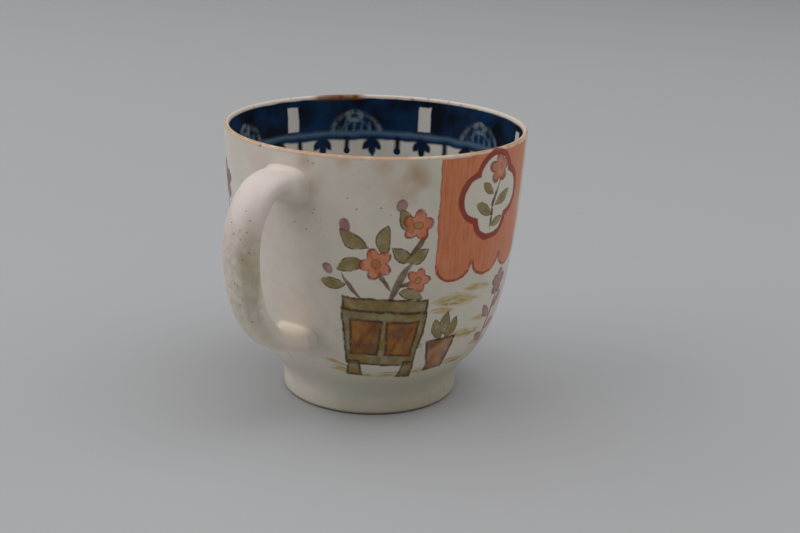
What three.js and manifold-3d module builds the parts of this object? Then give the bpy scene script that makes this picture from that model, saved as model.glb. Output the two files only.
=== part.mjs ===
// A small porcelain coffee cup: a thrown bowl on a foot ring, with a loop handle stuck on with slip.
// Millimetres and degrees, +Z up. The origin is on the bowl's axis, on the surface that the foot stands on.
// The handle points to -X, so the cup's front faces -Y.
import * as THREE from "three";
import { mergeVertices } from "three/addons/utils/BufferGeometryUtils.js";
import Module from "manifold-3d";

const wasm = await Module();
wasm.setup();

// Bowl
const cupHeight = 62;
const rimRadius = 33.7;
const lipThickness = 1.1;
const wallThickness = 2.4; // just above the foot, thinning to the lip
const floorThickness = 5.8;
const floorHollow = 1.5; // height of the soft corner between floor and wall
const bellySlope = 37.6; // rise of the wall where it leaves the foot
const bellyPull = 10; // how far the belly keeps that rise before it turns up
const rimLean = 2.4; // outward lean of the wall at the lip
const rimPull = 27; // how far down the wall keeps that lean

// Foot ring
const footRadius = 20.1;
const footHeight = 3.8;
const footThickness = 3.1; // at the toe
const footTaper = 0.9; // how much thicker the ring is under the bowl
const footToe = 0.6; // rounding of the two edges beside the band that it stands on
const footFillet = 6.6; // hollow between the foot and the belly

// Handle, along its centre line from the upper joint to the lower one
const upperJointDrop = 7.4; // below the lip
const upperJointRise = 28; // direction in which the handle leaves the wall
const shoulderPull = 9.3; // how far it keeps that direction
const handleStandOff = 13.8; // from the rim's radius out to the centre line at the back of the loop
const backDrop = 11.6; // from the upper joint down to the back of the loop
const backPullUp = 8; // straight stretch of the back above that height
const backPullDown = 13.7; // and below it
const lowerJointHeight = 19.8; // above the surface that the cup stands on
const lowerJointRise = 2; // direction in which the handle leaves the wall
const heelPull = 10.9; // how far it keeps that direction
const upperWidth = 8.6; // across the loop, at the upper joint
const lowerWidth = 7.6; // and at the lower joint
const upperThickness = 5.1; // in the plane of the loop, at the upper joint
const lowerThickness = 4.6; // and at the lower joint
const outerRoundness = 2.1; // exponent of the section's outer half, where 2 is an ellipse
const innerRoundness = 2.9; // exponent of its flatter inner half
const rootRoundness = 3.6; // exponent of both halves at the roots, which were pressed onto the wall
const rootFlare = 1; // how far a root spreads to each side
const rootSwell = 0.35; // how far it spreads in the plane of the loop
const flareLength = 6.5; // how much of the handle that spread takes

// Slip that sticks the handle on
const slipThickness = 0.6; // between the wall and the end of the handle
const slipFillet = 0.7; // spread of the slip round the root
const slipHeight = 1.2; // climb of the slip up the root
const slipEdge = 0.25; // thickness of the slip's upper edge
const seatGap = 0.3; // clearance between pieces that meet on curved faces

// Fineness of the curved faces
const turnSegments = 64;
const wallSteps = 14;
const arcSteps = 6;
const sectionPoints = 24;
const handleSteps = 34;
const slipSteps = 22;
const weldDistance = 1e-4; // points closer than this are one point

const radians = THREE.MathUtils.degToRad;
const towards = (degrees) => new THREE.Vector2(Math.cos(radians(degrees)), Math.sin(radians(degrees)));

// The outside of the bowl is one curve in the (radius, height) plane, from the foot's hollow to the lip.
const quarterTurn = 90;
const filletCentre = new THREE.Vector2(footRadius + footFillet, footHeight);
const bellyStart = towards(quarterTurn + bellySlope).multiplyScalar(footFillet).add(filletCentre);
const lipCentre = new THREE.Vector2(rimRadius - lipThickness / 2, cupHeight - lipThickness / 2);
const wallTop = towards(-rimLean).multiplyScalar(lipThickness / 2).add(lipCentre);
const wallCurve = new THREE.CubicBezierCurve(
  bellyStart,
  towards(bellySlope).multiplyScalar(bellyPull).add(bellyStart),
  towards(quarterTurn - rimLean).multiplyScalar(-rimPull).add(wallTop),
  wallTop,
);

// A point of the wall at share t of its curve, moved out along its normal. A negative offset moves it in.
function wallPoint(t, offset) {
  const tangent = wallCurve.getTangent(t);
  const normal = new THREE.Vector2(tangent.y, -tangent.x);
  return wallCurve.getPoint(t).addScaledVector(normal, offset);
}

// Shares of the wall's curve, evenly spread from the foot up to the lip.
const wallShares = Array.from({ length: wallSteps + 1 }, (_, i) => i / wallSteps);
const thicknessAt = (t) => THREE.MathUtils.lerp(wallThickness, lipThickness, t);

// Points of an arc in the (radius, height) plane.
function arc(centre, radius, fromDegrees, toDegrees, steps = arcSteps) {
  return Array.from({ length: steps + 1 }, (_, i) => {
    const angle = THREE.MathUtils.lerp(fromDegrees, toDegrees, i / steps);
    return towards(angle).multiplyScalar(radius).add(centre);
  });
}

// A solid of revolution about Z from an outline in the (radius, height) plane.
function turned(outline) {
  const distinct = outline.filter((p, i) => i === 0 || p.distanceTo(outline[i - 1]) > weldDistance);
  return new THREE.LatheGeometry(distinct, turnSegments).rotateX(Math.PI / 2);
}

function bowlGeometry() {
  const floorTop = footHeight + floorThickness;
  const innerPoint = (t) => wallPoint(t, -thicknessAt(t));
  const innerShares = wallShares.filter((t) => innerPoint(t).y > floorTop + floorHollow).reverse();
  const cornerStart = innerPoint(innerShares.at(-1));
  const downWall = wallCurve.getTangent(innerShares.at(-1)).negate();
  const cornerRun = (floorTop - cornerStart.y) / downWall.y;
  const corner = cornerStart.clone().addScaledVector(downWall, cornerRun);
  const cornerEnd = new THREE.Vector2(corner.x - cornerRun, floorTop);
  return turned([
    new THREE.Vector2(0, footHeight),
    ...arc(filletCentre, footFillet, 2 * quarterTurn, quarterTurn + bellySlope),
    ...wallShares.map((t) => wallPoint(t, 0)),
    ...arc(lipCentre, lipThickness / 2, -rimLean, 2 * quarterTurn - rimLean),
    ...innerShares.map(innerPoint),
    ...new THREE.QuadraticBezierCurve(cornerStart, corner, cornerEnd).getPoints(arcSteps),
    new THREE.Vector2(0, floorTop),
  ]);
}

function footRingGeometry() {
  const toe = Math.min(footToe, footThickness / 3);
  const toeInner = footRadius - footThickness;
  const innerTop = new THREE.Vector2(toeInner - footTaper, footHeight);
  const outerToe = new THREE.Vector2(footRadius - toe, toe);
  const innerToe = new THREE.Vector2(toeInner + toe, toe);
  return turned([
    innerTop,
    ...arc(innerToe, toe, 2 * quarterTurn, 3 * quarterTurn),
    ...arc(outerToe, toe, -quarterTurn, 0),
    new THREE.Vector2(footRadius, footHeight),
    innerTop,
  ]);
}

// Outside radius of the bowl at a height, and how far a point stands off its wall.
const wallLine = wallShares.map((t) => wallCurve.getPoint(t));
function wallRadius(height) {
  const above = wallLine.findIndex((p) => p.y >= height);
  const i = THREE.MathUtils.clamp(above, 1, wallLine.length - 1);
  const share = (height - wallLine[i - 1].y) / (wallLine[i].y - wallLine[i - 1].y);
  return THREE.MathUtils.lerp(wallLine[i - 1].x, wallLine[i].x, share);
}
function distanceFromWall(point) {
  const probe = 0.5;
  const lean = (wallRadius(point.z + probe) - wallRadius(point.z - probe)) / (2 * probe);
  return (Math.hypot(point.x, point.y) - wallRadius(point.z)) * Math.cos(Math.atan(lean));
}

// The handle's centre line, drawn towards +X in the plane of the loop and run on into the wall at both ends.
const upperRoot = new THREE.Vector2(wallRadius(cupHeight - upperJointDrop), cupHeight - upperJointDrop);
const lowerRoot = new THREE.Vector2(wallRadius(lowerJointHeight), lowerJointHeight);
const loopBack = new THREE.Vector2(rimRadius + handleStandOff, cupHeight - upperJointDrop - backDrop);
const rootDepth = upperWidth / 2;
const leaveUpper = towards(upperJointRise);
const leaveLower = towards(lowerJointRise);
const inPlane = (p) => new THREE.Vector3(p.x, 0, p.y);
const along = (from, direction, length) => inPlane(from.clone().addScaledVector(direction, length));
const upright = new THREE.Vector2(0, 1);

const centreLine = new THREE.CurvePath();
centreLine.add(new THREE.LineCurve3(along(upperRoot, leaveUpper, -rootDepth), inPlane(upperRoot)));
centreLine.add(
  new THREE.CubicBezierCurve3(
    inPlane(upperRoot),
    along(upperRoot, leaveUpper, shoulderPull),
    along(loopBack, upright, backPullUp),
    inPlane(loopBack),
  ),
);
centreLine.add(
  new THREE.CubicBezierCurve3(
    inPlane(loopBack),
    along(loopBack, upright, -backPullDown),
    along(lowerRoot, leaveLower, heelPull),
    inPlane(lowerRoot),
  ),
);
centreLine.add(new THREE.LineCurve3(inPlane(lowerRoot), along(lowerRoot, leaveLower, -rootDepth)));

// One section of the handle at a length of centre line: a rounded strap, flatter on the inside of the loop,
// that spreads and turns squarer at the roots. grow gives how far a point stands out from the handle's surface.
const handleLength = centreLine.getLength();
function handleSection(length, grow) {
  const centre = centreLine.getPointAt(length / handleLength);
  const tangent = centreLine.getTangentAt(length / handleLength);
  const outward = new THREE.Vector3(-tangent.z, 0, tangent.x);
  const sideways = tangent.clone().cross(outward);
  const free = handleLength - 2 * rootDepth;
  const run = THREE.MathUtils.clamp(length - rootDepth, 0, free);
  const flare = Math.max(1 - Math.min(run, free - run) / flareLength, 0) ** 2;
  const thickness = THREE.MathUtils.lerp(upperThickness, lowerThickness, run / free) + 2 * rootSwell * flare;
  const width = THREE.MathUtils.lerp(upperWidth, lowerWidth, run / free) + 2 * rootFlare * flare;
  return Array.from({ length: sectionPoints }, (_, i) => {
    const angle = (2 * Math.PI * i) / sectionPoints;
    const roundness = Math.cos(angle) > 0 ? outerRoundness : innerRoundness;
    const power = 2 / THREE.MathUtils.lerp(roundness, rootRoundness, flare);
    const out = Math.sign(Math.cos(angle)) * Math.abs(Math.cos(angle)) ** power;
    const side = Math.sign(Math.sin(angle)) * Math.abs(Math.sin(angle)) ** power;
    const surface = centre.clone();
    surface.addScaledVector(outward, (out * thickness) / 2);
    surface.addScaledVector(sideways, (side * width) / 2);
    const extra = grow(surface);
    return surface.addScaledVector(outward, out * extra).addScaledVector(sideways, side * extra);
  });
}

// A closed skin over rings of points that follow one another, with a fan over each end.
function loft(rings) {
  const count = rings[0].length;
  const middle = (ring) => ring.reduce((sum, p) => sum.add(p), new THREE.Vector3()).divideScalar(count);
  const points = [...rings.flat(), middle(rings[0]), middle(rings.at(-1))];
  const lastRing = (rings.length - 1) * count;
  const firstMiddle = points.length - 2;
  const index = [];
  for (let i = 0; i < count; i++) {
    const next = (i + 1) % count;
    for (let ring = 0; ring < lastRing; ring += count) {
      index.push(ring + i, ring + next, ring + count + next);
      index.push(ring + i, ring + count + next, ring + count + i);
    }
    index.push(firstMiddle, next, i);
    index.push(firstMiddle + 1, lastRing + i, lastRing + next);
  }
  return new THREE.BufferGeometry().setFromPoints(points).setIndex(index);
}

// Solids for cutting, and their way back to a geometry.
function solid(geometry) {
  const bare = new THREE.BufferGeometry();
  bare.setAttribute("position", geometry.getAttribute("position"));
  bare.setIndex(geometry.getIndex());
  const merged = mergeVertices(bare, weldDistance);
  return new wasm.Manifold(
    new wasm.Mesh({
      numProp: 3,
      vertProperties: merged.getAttribute("position").array,
      triVerts: new Uint32Array(merged.getIndex().array),
    }),
  );
}
function geometryOf(manifold) {
  const mesh = manifold.getMesh();
  const geometry = new THREE.BufferGeometry();
  geometry.setAttribute("position", new THREE.BufferAttribute(mesh.vertProperties, 3));
  geometry.setIndex(new THREE.BufferAttribute(mesh.triVerts, 1));
  geometry.computeVertexNormals();
  return geometry;
}

// All the room inside the outer wall and up to a distance from it, from the foot to well above the lip.
function bowlEnvelope(distance) {
  const outline = wallShares.map((t) => wallPoint(t, distance));
  const top = cupHeight + upperWidth;
  return solid(
    turned([
      new THREE.Vector2(0, 0),
      new THREE.Vector2(footRadius + distance, 0),
      new THREE.Vector2(footRadius + distance, footHeight),
      ...outline,
      new THREE.Vector2(outline.at(-1).x, top),
      new THREE.Vector2(0, top),
    ]),
  );
}

// The whole handle, or the room that it needs with a clearance round it, ending at a distance from the wall.
function handleSolid(clearance, endDistance) {
  const rings = Array.from({ length: handleSteps + 1 }, (_, i) =>
    handleSection((i / handleSteps) * handleLength, () => clearance),
  );
  return solid(loft(rings)).subtract(bowlEnvelope(endDistance));
}

// Slip under one end of the handle and in a hollow fillet round it, over a stretch of the centre line.
const padTop = seatGap + slipThickness;
const handleRoom = handleSolid(seatGap, padTop);
function slipGrowth(surface) {
  const height = distanceFromWall(surface);
  const rim = seatGap + slipEdge;
  if (height > slipHeight) {
    return rim - (height - slipHeight);
  }
  const drop = 1 - Math.max(height, 0) / slipHeight;
  return rim + slipFillet * (1 - Math.sqrt(1 - drop * drop));
}
function slipGeometry(fromLength, toLength) {
  const rings = Array.from({ length: slipSteps + 1 }, (_, i) =>
    handleSection(THREE.MathUtils.lerp(fromLength, toLength, i / slipSteps), slipGrowth),
  );
  return geometryOf(solid(loft(rings)).subtract(bowlEnvelope(seatGap)).subtract(handleRoom));
}

const porcelain = { roughness: 0.16, metalness: 0 };
const bowlGlaze = new THREE.MeshStandardMaterial({ ...porcelain, color: 0xd8d1c7 });
const footGlaze = new THREE.MeshStandardMaterial({ ...porcelain, color: 0xd2cbc0 });
const handleGlaze = new THREE.MeshStandardMaterial({ ...porcelain, color: 0xdad4cb });
const slipGlaze = new THREE.MeshStandardMaterial({ ...porcelain, color: 0xc3c5b8 });

function piece(name, geometry, material) {
  const mesh = new THREE.Mesh(geometry, material);
  mesh.name = name;
  return mesh;
}

// The slip reaches past its own upper edge, so that the cut with the handle's room makes that edge.
const slipReach = 2 * rootDepth + slipHeight;
const handleGroup = new THREE.Group();
handleGroup.add(
  piece("handle", geometryOf(handleSolid(0, padTop + seatGap)), handleGlaze),
  piece("upper_slip_joint", slipGeometry(0, slipReach), slipGlaze),
  piece("lower_slip_joint", slipGeometry(handleLength - slipReach, handleLength), slipGlaze),
);
handleGroup.rotation.z = Math.PI;

const cup = new THREE.Group();
cup.add(
  piece("bowl", bowlGeometry(), bowlGlaze),
  piece("foot_ring", footRingGeometry(), footGlaze),
  handleGroup,
);

export default cup;
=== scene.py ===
"""A small painted porcelain coffee cup on a pale grey table.

Sizes are in millimetres until a mesh is made, and in metres from there on.
"""
import bisect
import math
import bmesh
import bpy
from mathutils import Euler, Matrix, Vector


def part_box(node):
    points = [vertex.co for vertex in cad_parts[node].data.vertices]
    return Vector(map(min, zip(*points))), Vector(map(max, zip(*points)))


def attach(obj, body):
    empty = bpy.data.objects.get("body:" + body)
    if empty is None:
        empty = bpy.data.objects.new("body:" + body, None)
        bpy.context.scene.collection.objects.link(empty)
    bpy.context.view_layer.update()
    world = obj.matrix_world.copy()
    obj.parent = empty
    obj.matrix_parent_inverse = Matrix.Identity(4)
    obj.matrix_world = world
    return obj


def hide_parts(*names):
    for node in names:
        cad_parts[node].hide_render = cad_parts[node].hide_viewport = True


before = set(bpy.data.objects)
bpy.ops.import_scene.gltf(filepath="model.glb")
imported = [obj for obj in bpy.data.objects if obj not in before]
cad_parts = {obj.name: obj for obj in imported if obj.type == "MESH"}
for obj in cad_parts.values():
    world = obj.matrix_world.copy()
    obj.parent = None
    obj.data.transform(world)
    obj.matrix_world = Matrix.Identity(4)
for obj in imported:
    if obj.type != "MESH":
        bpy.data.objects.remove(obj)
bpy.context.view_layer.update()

# Sizes from the frame
MM = 0.001
bowl_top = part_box("bowl")[1] / MM
foot_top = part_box("foot_ring")[1] / MM
CUP_HEIGHT = bowl_top.z
RIM_RADIUS = bowl_top.x
FOOT_RADIUS = foot_top.x
FOOT_HEIGHT = foot_top.z

# The bowl's wall, as it was thrown and turned
LIP_THICKNESS = 1.1
WALL_THICKNESS = 2.4
FLOOR_THICKNESS = 5.8
FLOOR_HOLLOW = 1.5
BELLY_SLOPE = math.radians(37.6)
BELLY_PULL = 10.0
RIM_LEAN = math.radians(2.4)
RIM_PULL = 27.0
FOOT_FILLET = 6.6

# The foot ring
FOOT_THICKNESS = 3.1
FOOT_TAPER = 0.9
FOOT_TOE = 0.6

# The handle's centre line, from the upper joint to the lower one, and its section
UPPER_JOINT_DROP = 7.4
UPPER_JOINT_RISE = math.radians(28)
SHOULDER_PULL = 9.3
HANDLE_STAND_OFF = 13.8
BACK_DROP = 11.6
BACK_PULL_UP = 8.0
BACK_PULL_DOWN = 13.7
LOWER_JOINT_HEIGHT = 19.8
LOWER_JOINT_RISE = math.radians(2)
HEEL_PULL = 10.9
UPPER_WIDTH = 8.6
LOWER_WIDTH = 7.6
UPPER_THICKNESS = 5.1
LOWER_THICKNESS = 4.6
OUTER_ROUNDNESS = 2.1
INNER_ROUNDNESS = 2.9
ROOT_ROUNDNESS = 3.6
ROOT_FLARE = 0.7
ROOT_SWELL = 0.35
FLARE_LENGTH = 6.5

# Slip at the handle's roots
SLIP_SPREAD = 0.9
SLIP_CLIMB = 1.7
SLIP_DEPTH = 0.3

# Fineness of the curves and the searches
TURN_STEPS = 160
WALL_STEPS = 56
ARC_STEPS = 14
FILLET_STEPS = 12
EASE_PASSES = 36
EASE_LEAD = 8
SECTION_POINTS = 48
HANDLE_RINGS = 120
SLIP_RINGS = 14
PATH_STEPS = 300
SEARCH_STEPS = 40
WELD = 0.001

# How deep the handle's ends stand in the wall
ROOT_DEPTH = 0.5

# Angles in degrees, above which an edge stays sharp
TURNED_EDGE = 35
HANDLE_EDGE = 80
SLIP_EDGE = 50


def towards(angle):
    return Vector((math.cos(angle), math.sin(angle)))


def bezier(points, t):
    """The point and the direction of a Bezier curve at share t."""
    while len(points) > 2:
        points = [a.lerp(b, t) for a, b in zip(points, points[1:])]
    start, end = points
    return start.lerp(end, t), (end - start).normalized()


def arc(centre, radius, start, end, steps=ARC_STEPS):
    angles = (start + (end - start) * i / steps for i in range(steps + 1))
    return [centre + towards(angle) * radius for angle in angles]


# Profile of the bowl in the (radius, height) plane
QUARTER = math.pi / 2
fillet_centre = Vector((FOOT_RADIUS + FOOT_FILLET, FOOT_HEIGHT))
belly_start = fillet_centre + towards(QUARTER + BELLY_SLOPE) * FOOT_FILLET
lip_centre = Vector((RIM_RADIUS - LIP_THICKNESS / 2, CUP_HEIGHT - LIP_THICKNESS / 2))
wall_top = lip_centre + towards(-RIM_LEAN) * LIP_THICKNESS / 2
WALL = [
    belly_start,
    belly_start + towards(BELLY_SLOPE) * BELLY_PULL,
    wall_top - towards(QUARTER - RIM_LEAN) * RIM_PULL,
    wall_top,
]


def wall_point(share, offset=0.0):
    """A point of the outer wall, moved out along the wall's normal."""
    place, direction = bezier(WALL, share)
    return place + Vector((direction.y, -direction.x)) * offset


def inner_point(share):
    return wall_point(share, -WALL_THICKNESS + (WALL_THICKNESS - LIP_THICKNESS) * share)


def wall_share(height):
    """The share of the wall's curve that lies at a height."""
    low, high = 0.0, 1.0
    for _ in range(SEARCH_STEPS):
        middle = (low + high) / 2
        if bezier(WALL, middle)[0].y < height:
            low = middle
        else:
            high = middle
    return low


def off_wall(place):
    """How far a point stands off the outer wall, and the wall's normal there."""
    share = wall_share(place.z)
    nearest, direction = bezier(WALL, share)
    level = Vector((place.x, place.y, 0)).normalized()
    normal = level * direction.y - Vector((0, 0, direction.x))
    return (math.hypot(place.x, place.y) - nearest.x) * direction.y, normal


def eased(points):
    """A line with its points drawn towards their neighbours, less so near its start, for softer bends."""
    for _ in range(EASE_PASSES):
        moved = []
        for i, (before, here, after) in enumerate(zip(points, points[1:], points[2:])):
            moved.append(here.lerp((before + after) / 2, min(i / EASE_LEAD, 1) / 2))
        points = [points[0], *moved, points[-1]]
    return points


def bowl_outline():
    floor = FOOT_HEIGHT + FLOOR_THICKNESS
    shares = [i / WALL_STEPS for i in range(WALL_STEPS + 1)]
    inner_shares = [t for t in reversed(shares) if inner_point(t).y > floor + FLOOR_HOLLOW]
    corner_start = inner_point(inner_shares[-1])
    down_wall = -bezier(WALL, inner_shares[-1])[1]
    run = (floor - corner_start.y) / down_wall.y
    corner = corner_start + down_wall * run
    corner_end = corner - Vector((run, 0))
    hollow = [bezier([corner_start, corner, corner_end], i / ARC_STEPS)[0] for i in range(ARC_STEPS + 1)]
    hollow_arc = arc(fillet_centre, FOOT_FILLET, math.pi, QUARTER + BELLY_SLOPE, FILLET_STEPS)
    return [
        Vector((0, FOOT_HEIGHT)),
        *eased(hollow_arc + [wall_point(t) for t in shares[1:]]),
        *arc(lip_centre, LIP_THICKNESS / 2, -RIM_LEAN, math.pi - RIM_LEAN),
        *[inner_point(t) for t in inner_shares],
        *hollow,
        Vector((0, floor)),
    ]


def foot_outline():
    toe_inner = FOOT_RADIUS - FOOT_THICKNESS
    inner_top = Vector((toe_inner - FOOT_TAPER, FOOT_HEIGHT))
    return [
        inner_top,
        *arc(Vector((toe_inner + FOOT_TOE, FOOT_TOE)), FOOT_TOE, math.pi, 3 * QUARTER),
        *arc(Vector((FOOT_RADIUS - FOOT_TOE, FOOT_TOE)), FOOT_TOE, -QUARTER, 0),
        Vector((FOOT_RADIUS, FOOT_HEIGHT)),
        inner_top,
    ]


# Modelling
def start_from(add, name, **size):
    bpy.ops.object.select_all(action="DESELECT")
    add(**size)
    piece = bpy.context.object
    piece.name = name
    piece.data.name = name
    bpy.ops.object.mode_set(mode="EDIT")
    return piece


def close_piece(smooth_angle):
    bpy.ops.mesh.select_all(action="SELECT")
    bpy.ops.mesh.remove_doubles(threshold=WELD * MM)
    bpy.ops.mesh.normals_make_consistent(inside=False)
    bpy.ops.object.mode_set(mode="OBJECT")
    bpy.ops.object.shade_smooth_by_angle(angle=math.radians(smooth_angle))


def turned_piece(name, outline):
    """A vertex drawn along the outline by extrusion, then spun about the cup's axis."""
    piece = start_from(bpy.ops.mesh.primitive_plane_add, name, size=MM)
    bpy.ops.mesh.merge(type="CENTER")
    bpy.ops.transform.translate(value=(outline[0].x * MM, 0, outline[0].y * MM))
    for before, after in zip(outline, outline[1:]):
        step = (after - before) * MM
        if step.length > WELD * MM:
            bpy.ops.mesh.extrude_region_move(TRANSFORM_OT_translate={"value": (step.x, 0, step.y)})
    bpy.ops.mesh.select_all(action="SELECT")
    bpy.ops.mesh.spin(steps=TURN_STEPS, angle=2 * math.pi, center=(0, 0, 0), axis=(0, 0, 1))
    close_piece(TURNED_EDGE)
    return piece


def place_ring(piece, ring):
    """Moves the loop of vertices that was made last onto a ring of points."""
    mesh = bmesh.from_edit_mesh(piece.data)
    mesh.verts.ensure_lookup_table()
    for vertex, place in zip(mesh.verts[-len(ring):], ring):
        vertex.co = place * MM
    bmesh.update_edit_mesh(piece.data)


def lofted_piece(name, rings, smooth_angle):
    """A circle extruded from ring to ring. Open ends are filled, and a ring like the first closes a loop."""
    piece = start_from(bpy.ops.mesh.primitive_circle_add, name, vertices=len(rings[0]), radius=MM)
    place_ring(piece, rings[0])
    for ring in rings[1:]:
        bpy.ops.mesh.extrude_edges_move(TRANSFORM_OT_translate={"value": (0, 0, 0)})
        place_ring(piece, ring)
    bpy.ops.mesh.select_all(action="SELECT")
    bpy.ops.mesh.remove_doubles(threshold=WELD * MM)
    bpy.ops.mesh.fill_holes(sides=0)
    close_piece(smooth_angle)
    return piece


# The handle's centre line
def root(height):
    """The point of the outer wall at a height, in the (radius, height) plane."""
    return bezier(WALL, wall_share(height))[0]


upper_root = root(CUP_HEIGHT - UPPER_JOINT_DROP)
lower_root = root(LOWER_JOINT_HEIGHT)
loop_back = Vector((RIM_RADIUS + HANDLE_STAND_OFF, CUP_HEIGHT - UPPER_JOINT_DROP - BACK_DROP))
SHOULDER = [
    upper_root,
    upper_root + towards(UPPER_JOINT_RISE) * SHOULDER_PULL,
    loop_back + Vector((0, BACK_PULL_UP)),
    loop_back,
]
HEEL = [
    loop_back,
    loop_back - Vector((0, BACK_PULL_DOWN)),
    lower_root + towards(LOWER_JOINT_RISE) * HEEL_PULL,
    lower_root,
]


def measured_path(curves):
    """Rows of the length run so far, the point and the direction, along some curves."""
    path = []
    run = 0.0
    for curve in curves:
        for i in range(PATH_STEPS + 1):
            place, direction = bezier(curve, i / PATH_STEPS)
            if path:
                run += (place - path[-1][1]).length
            path.append((run, place, direction))
    return path


PATH = measured_path([SHOULDER, HEEL])
PATH_LENGTH = PATH[-1][0]


def path_at(run):
    """The centre line's point and direction at a length, run on straight past both ends."""
    index = bisect.bisect_left(PATH, run, key=lambda row: row[0])
    length, place, direction = PATH[min(index, len(PATH) - 1)]
    return place + direction * (run - length), direction


def handle_point(run, angle, grow=0.0):
    """A point of the handle's surface, at a length of centre line and an angle round the section."""
    place, direction = path_at(run)
    outward = Vector((-direction.y, direction.x))
    free = min(max(run, 0), PATH_LENGTH)
    share = free / PATH_LENGTH
    flare = max(1 - min(free, PATH_LENGTH - free) / FLARE_LENGTH, 0) ** 2
    thickness = UPPER_THICKNESS + (LOWER_THICKNESS - UPPER_THICKNESS) * share + 2 * ROOT_SWELL * flare
    width = UPPER_WIDTH + (LOWER_WIDTH - UPPER_WIDTH) * share + 2 * ROOT_FLARE * flare
    roundness = OUTER_ROUNDNESS if math.cos(angle) > 0 else INNER_ROUNDNESS
    power = 2 / (roundness + (ROOT_ROUNDNESS - roundness) * flare)
    out = math.copysign(abs(math.cos(angle)) ** power, math.cos(angle)) * (thickness / 2 + grow)
    side = math.copysign(abs(math.sin(angle)) ** power, math.sin(angle)) * (width / 2 + grow)
    return Vector((-place.x - outward.x * out, side, place.y + outward.y * out))


def run_at_wall(angle, depth, start, away):
    """The length at which one line along the handle passes a depth in the wall, searched from a joint."""
    outside = start + away * UPPER_WIDTH
    inside = start - away * UPPER_WIDTH
    for _ in range(SEARCH_STEPS):
        middle = (outside + inside) / 2
        if off_wall(handle_point(middle, angle))[0] > -depth:
            outside = middle
        else:
            inside = middle
    return outside


SECTION_ANGLES = [2 * math.pi * i / SECTION_POINTS for i in range(SECTION_POINTS)]


def handle_rings():
    starts = [run_at_wall(angle, ROOT_DEPTH, 0, 1) for angle in SECTION_ANGLES]
    ends = [run_at_wall(angle, ROOT_DEPTH, PATH_LENGTH, -1) for angle in SECTION_ANGLES]
    lines = list(zip(SECTION_ANGLES, starts, ends))
    rings = []
    for i in range(HANDLE_RINGS + 1):
        share = i / HANDLE_RINGS
        rings.append([handle_point(start + (end - start) * share, angle) for angle, start, end in lines])
    return rings


def slip_rings(start, away):
    """Sections of the slip round one root: a hollow quarter from wall to handle, closed inside both."""
    edge = [run_at_wall(angle, 0, start, away) for angle in SECTION_ANGLES]
    contour = [handle_point(run, angle) for run, angle in zip(edge, SECTION_ANGLES)]
    middle = sum(contour, Vector()) / SECTION_POINTS
    rings = []
    for i, angle in enumerate(SECTION_ANGLES):
        normal = off_wall(contour[i])[1]
        along_contour = contour[(i + 1) % SECTION_POINTS] - contour[i - 1]
        spread = along_contour.cross(normal).normalized()
        if spread.dot(contour[i] - middle) < 0:
            spread.negate()
        ring = []
        for k in range(SLIP_RINGS + 1):
            turn = QUARTER * k / SLIP_RINGS
            climb = SLIP_CLIMB * (1 - math.cos(turn))
            reach = SLIP_SPREAD * (1 - math.sin(turn))
            place = handle_point(edge[i] + away * climb, angle) + spread * reach
            stand, out_of_wall = off_wall(place)
            wanted = max(stand, 0) if k else 0
            ring.append(place - out_of_wall * (stand - wanted))
        ring.append(handle_point(edge[i] + away * SLIP_CLIMB, angle, -SLIP_DEPTH))
        ring.append(handle_point(edge[i], angle, -SLIP_DEPTH) - normal * SLIP_DEPTH)
        ring.append(ring[0] - normal * SLIP_DEPTH)
        rings.append(ring)
    return rings + rings[:1]


bowl = turned_piece("bowl_glazed", bowl_outline())
foot = turned_piece("foot_ring_glazed", foot_outline())
handle = lofted_piece("handle_glazed", handle_rings(), HANDLE_EDGE)
upper_slip = lofted_piece("upper_slip_glazed", slip_rings(0, 1), SLIP_EDGE)
lower_slip = lofted_piece("lower_slip_glazed", slip_rings(PATH_LENGTH, -1), SLIP_EDGE)

for piece, node, slot in [
    (bowl, "bowl", "bowl_glaze"),
    (foot, "foot_ring", "foot_glaze"),
    (handle, "handle", "handle_glaze"),
    (upper_slip, "upper_slip_joint", "slip_glaze"),
    (lower_slip, "lower_slip_joint", "slip_glaze"),
]:
    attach(piece, "root")
    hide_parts(node)


# Colours of the glaze, the paints and the table
def tint(red, green, blue):
    """A colour for a socket, from sRGB values of 0 to 255."""
    return tuple(((value / 255 + 0.055) / 1.055) ** 2.4 for value in (red, green, blue)) + (1.0,)


GLAZE = tint(224, 217, 207)
WARM_GLAZE = tint(223, 216, 198)
PINK_GLAZE = tint(224, 206, 196)
GREEN_GLAZE = tint(198, 196, 174)
ROSE_GLAZE = tint(228, 212, 208)
PALE_GLAZE = tint(250, 240, 230)
POOLED_GLAZE = tint(172, 176, 152)
COOL_GLAZE = tint(212, 209, 205)
TAN_STAIN = tint(180, 138, 94)
OLIVE_DIRT = tint(176, 164, 130)
# Brown of dirt and of painted contact shade at the foot's toe
TOE_DIRT_AND_SHADE = tint(112, 96, 70)
# A pale cream painted on the handle as light over its shaded parts
PAINTED_LIGHT_CREAM = tint(238, 222, 206)
SPECK = tint(58, 50, 38)
AMBER = tint(200, 146, 84)
RIM_TAN = tint(224, 204, 188)
RIM_BROWN = tint(136, 86, 44)
COBALT = tint(4, 44, 80)
DEEP_COBALT = tint(0, 9, 26)
SLATE = tint(84, 112, 138)
FAN_WHITE = tint(120, 134, 142)
CORAL = tint(221, 127, 74)
DEEP_CORAL = tint(200, 104, 58)
IRON_RED = tint(150, 52, 32)
OCHRE = tint(172, 106, 16)
BROWN = tint(116, 60, 10)
OLIVE = tint(146, 118, 30)
GREY_GREEN = tint(108, 98, 40)
LEAF_GREEN = tint(116, 102, 18)
STRAW = tint(190, 158, 80)
PUCE = tint(170, 108, 110)
DEEP_PUCE = tint(112, 52, 58)
OUTLINE = tint(54, 36, 10)
PAPER_GREY = tint(178, 179, 181)

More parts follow.
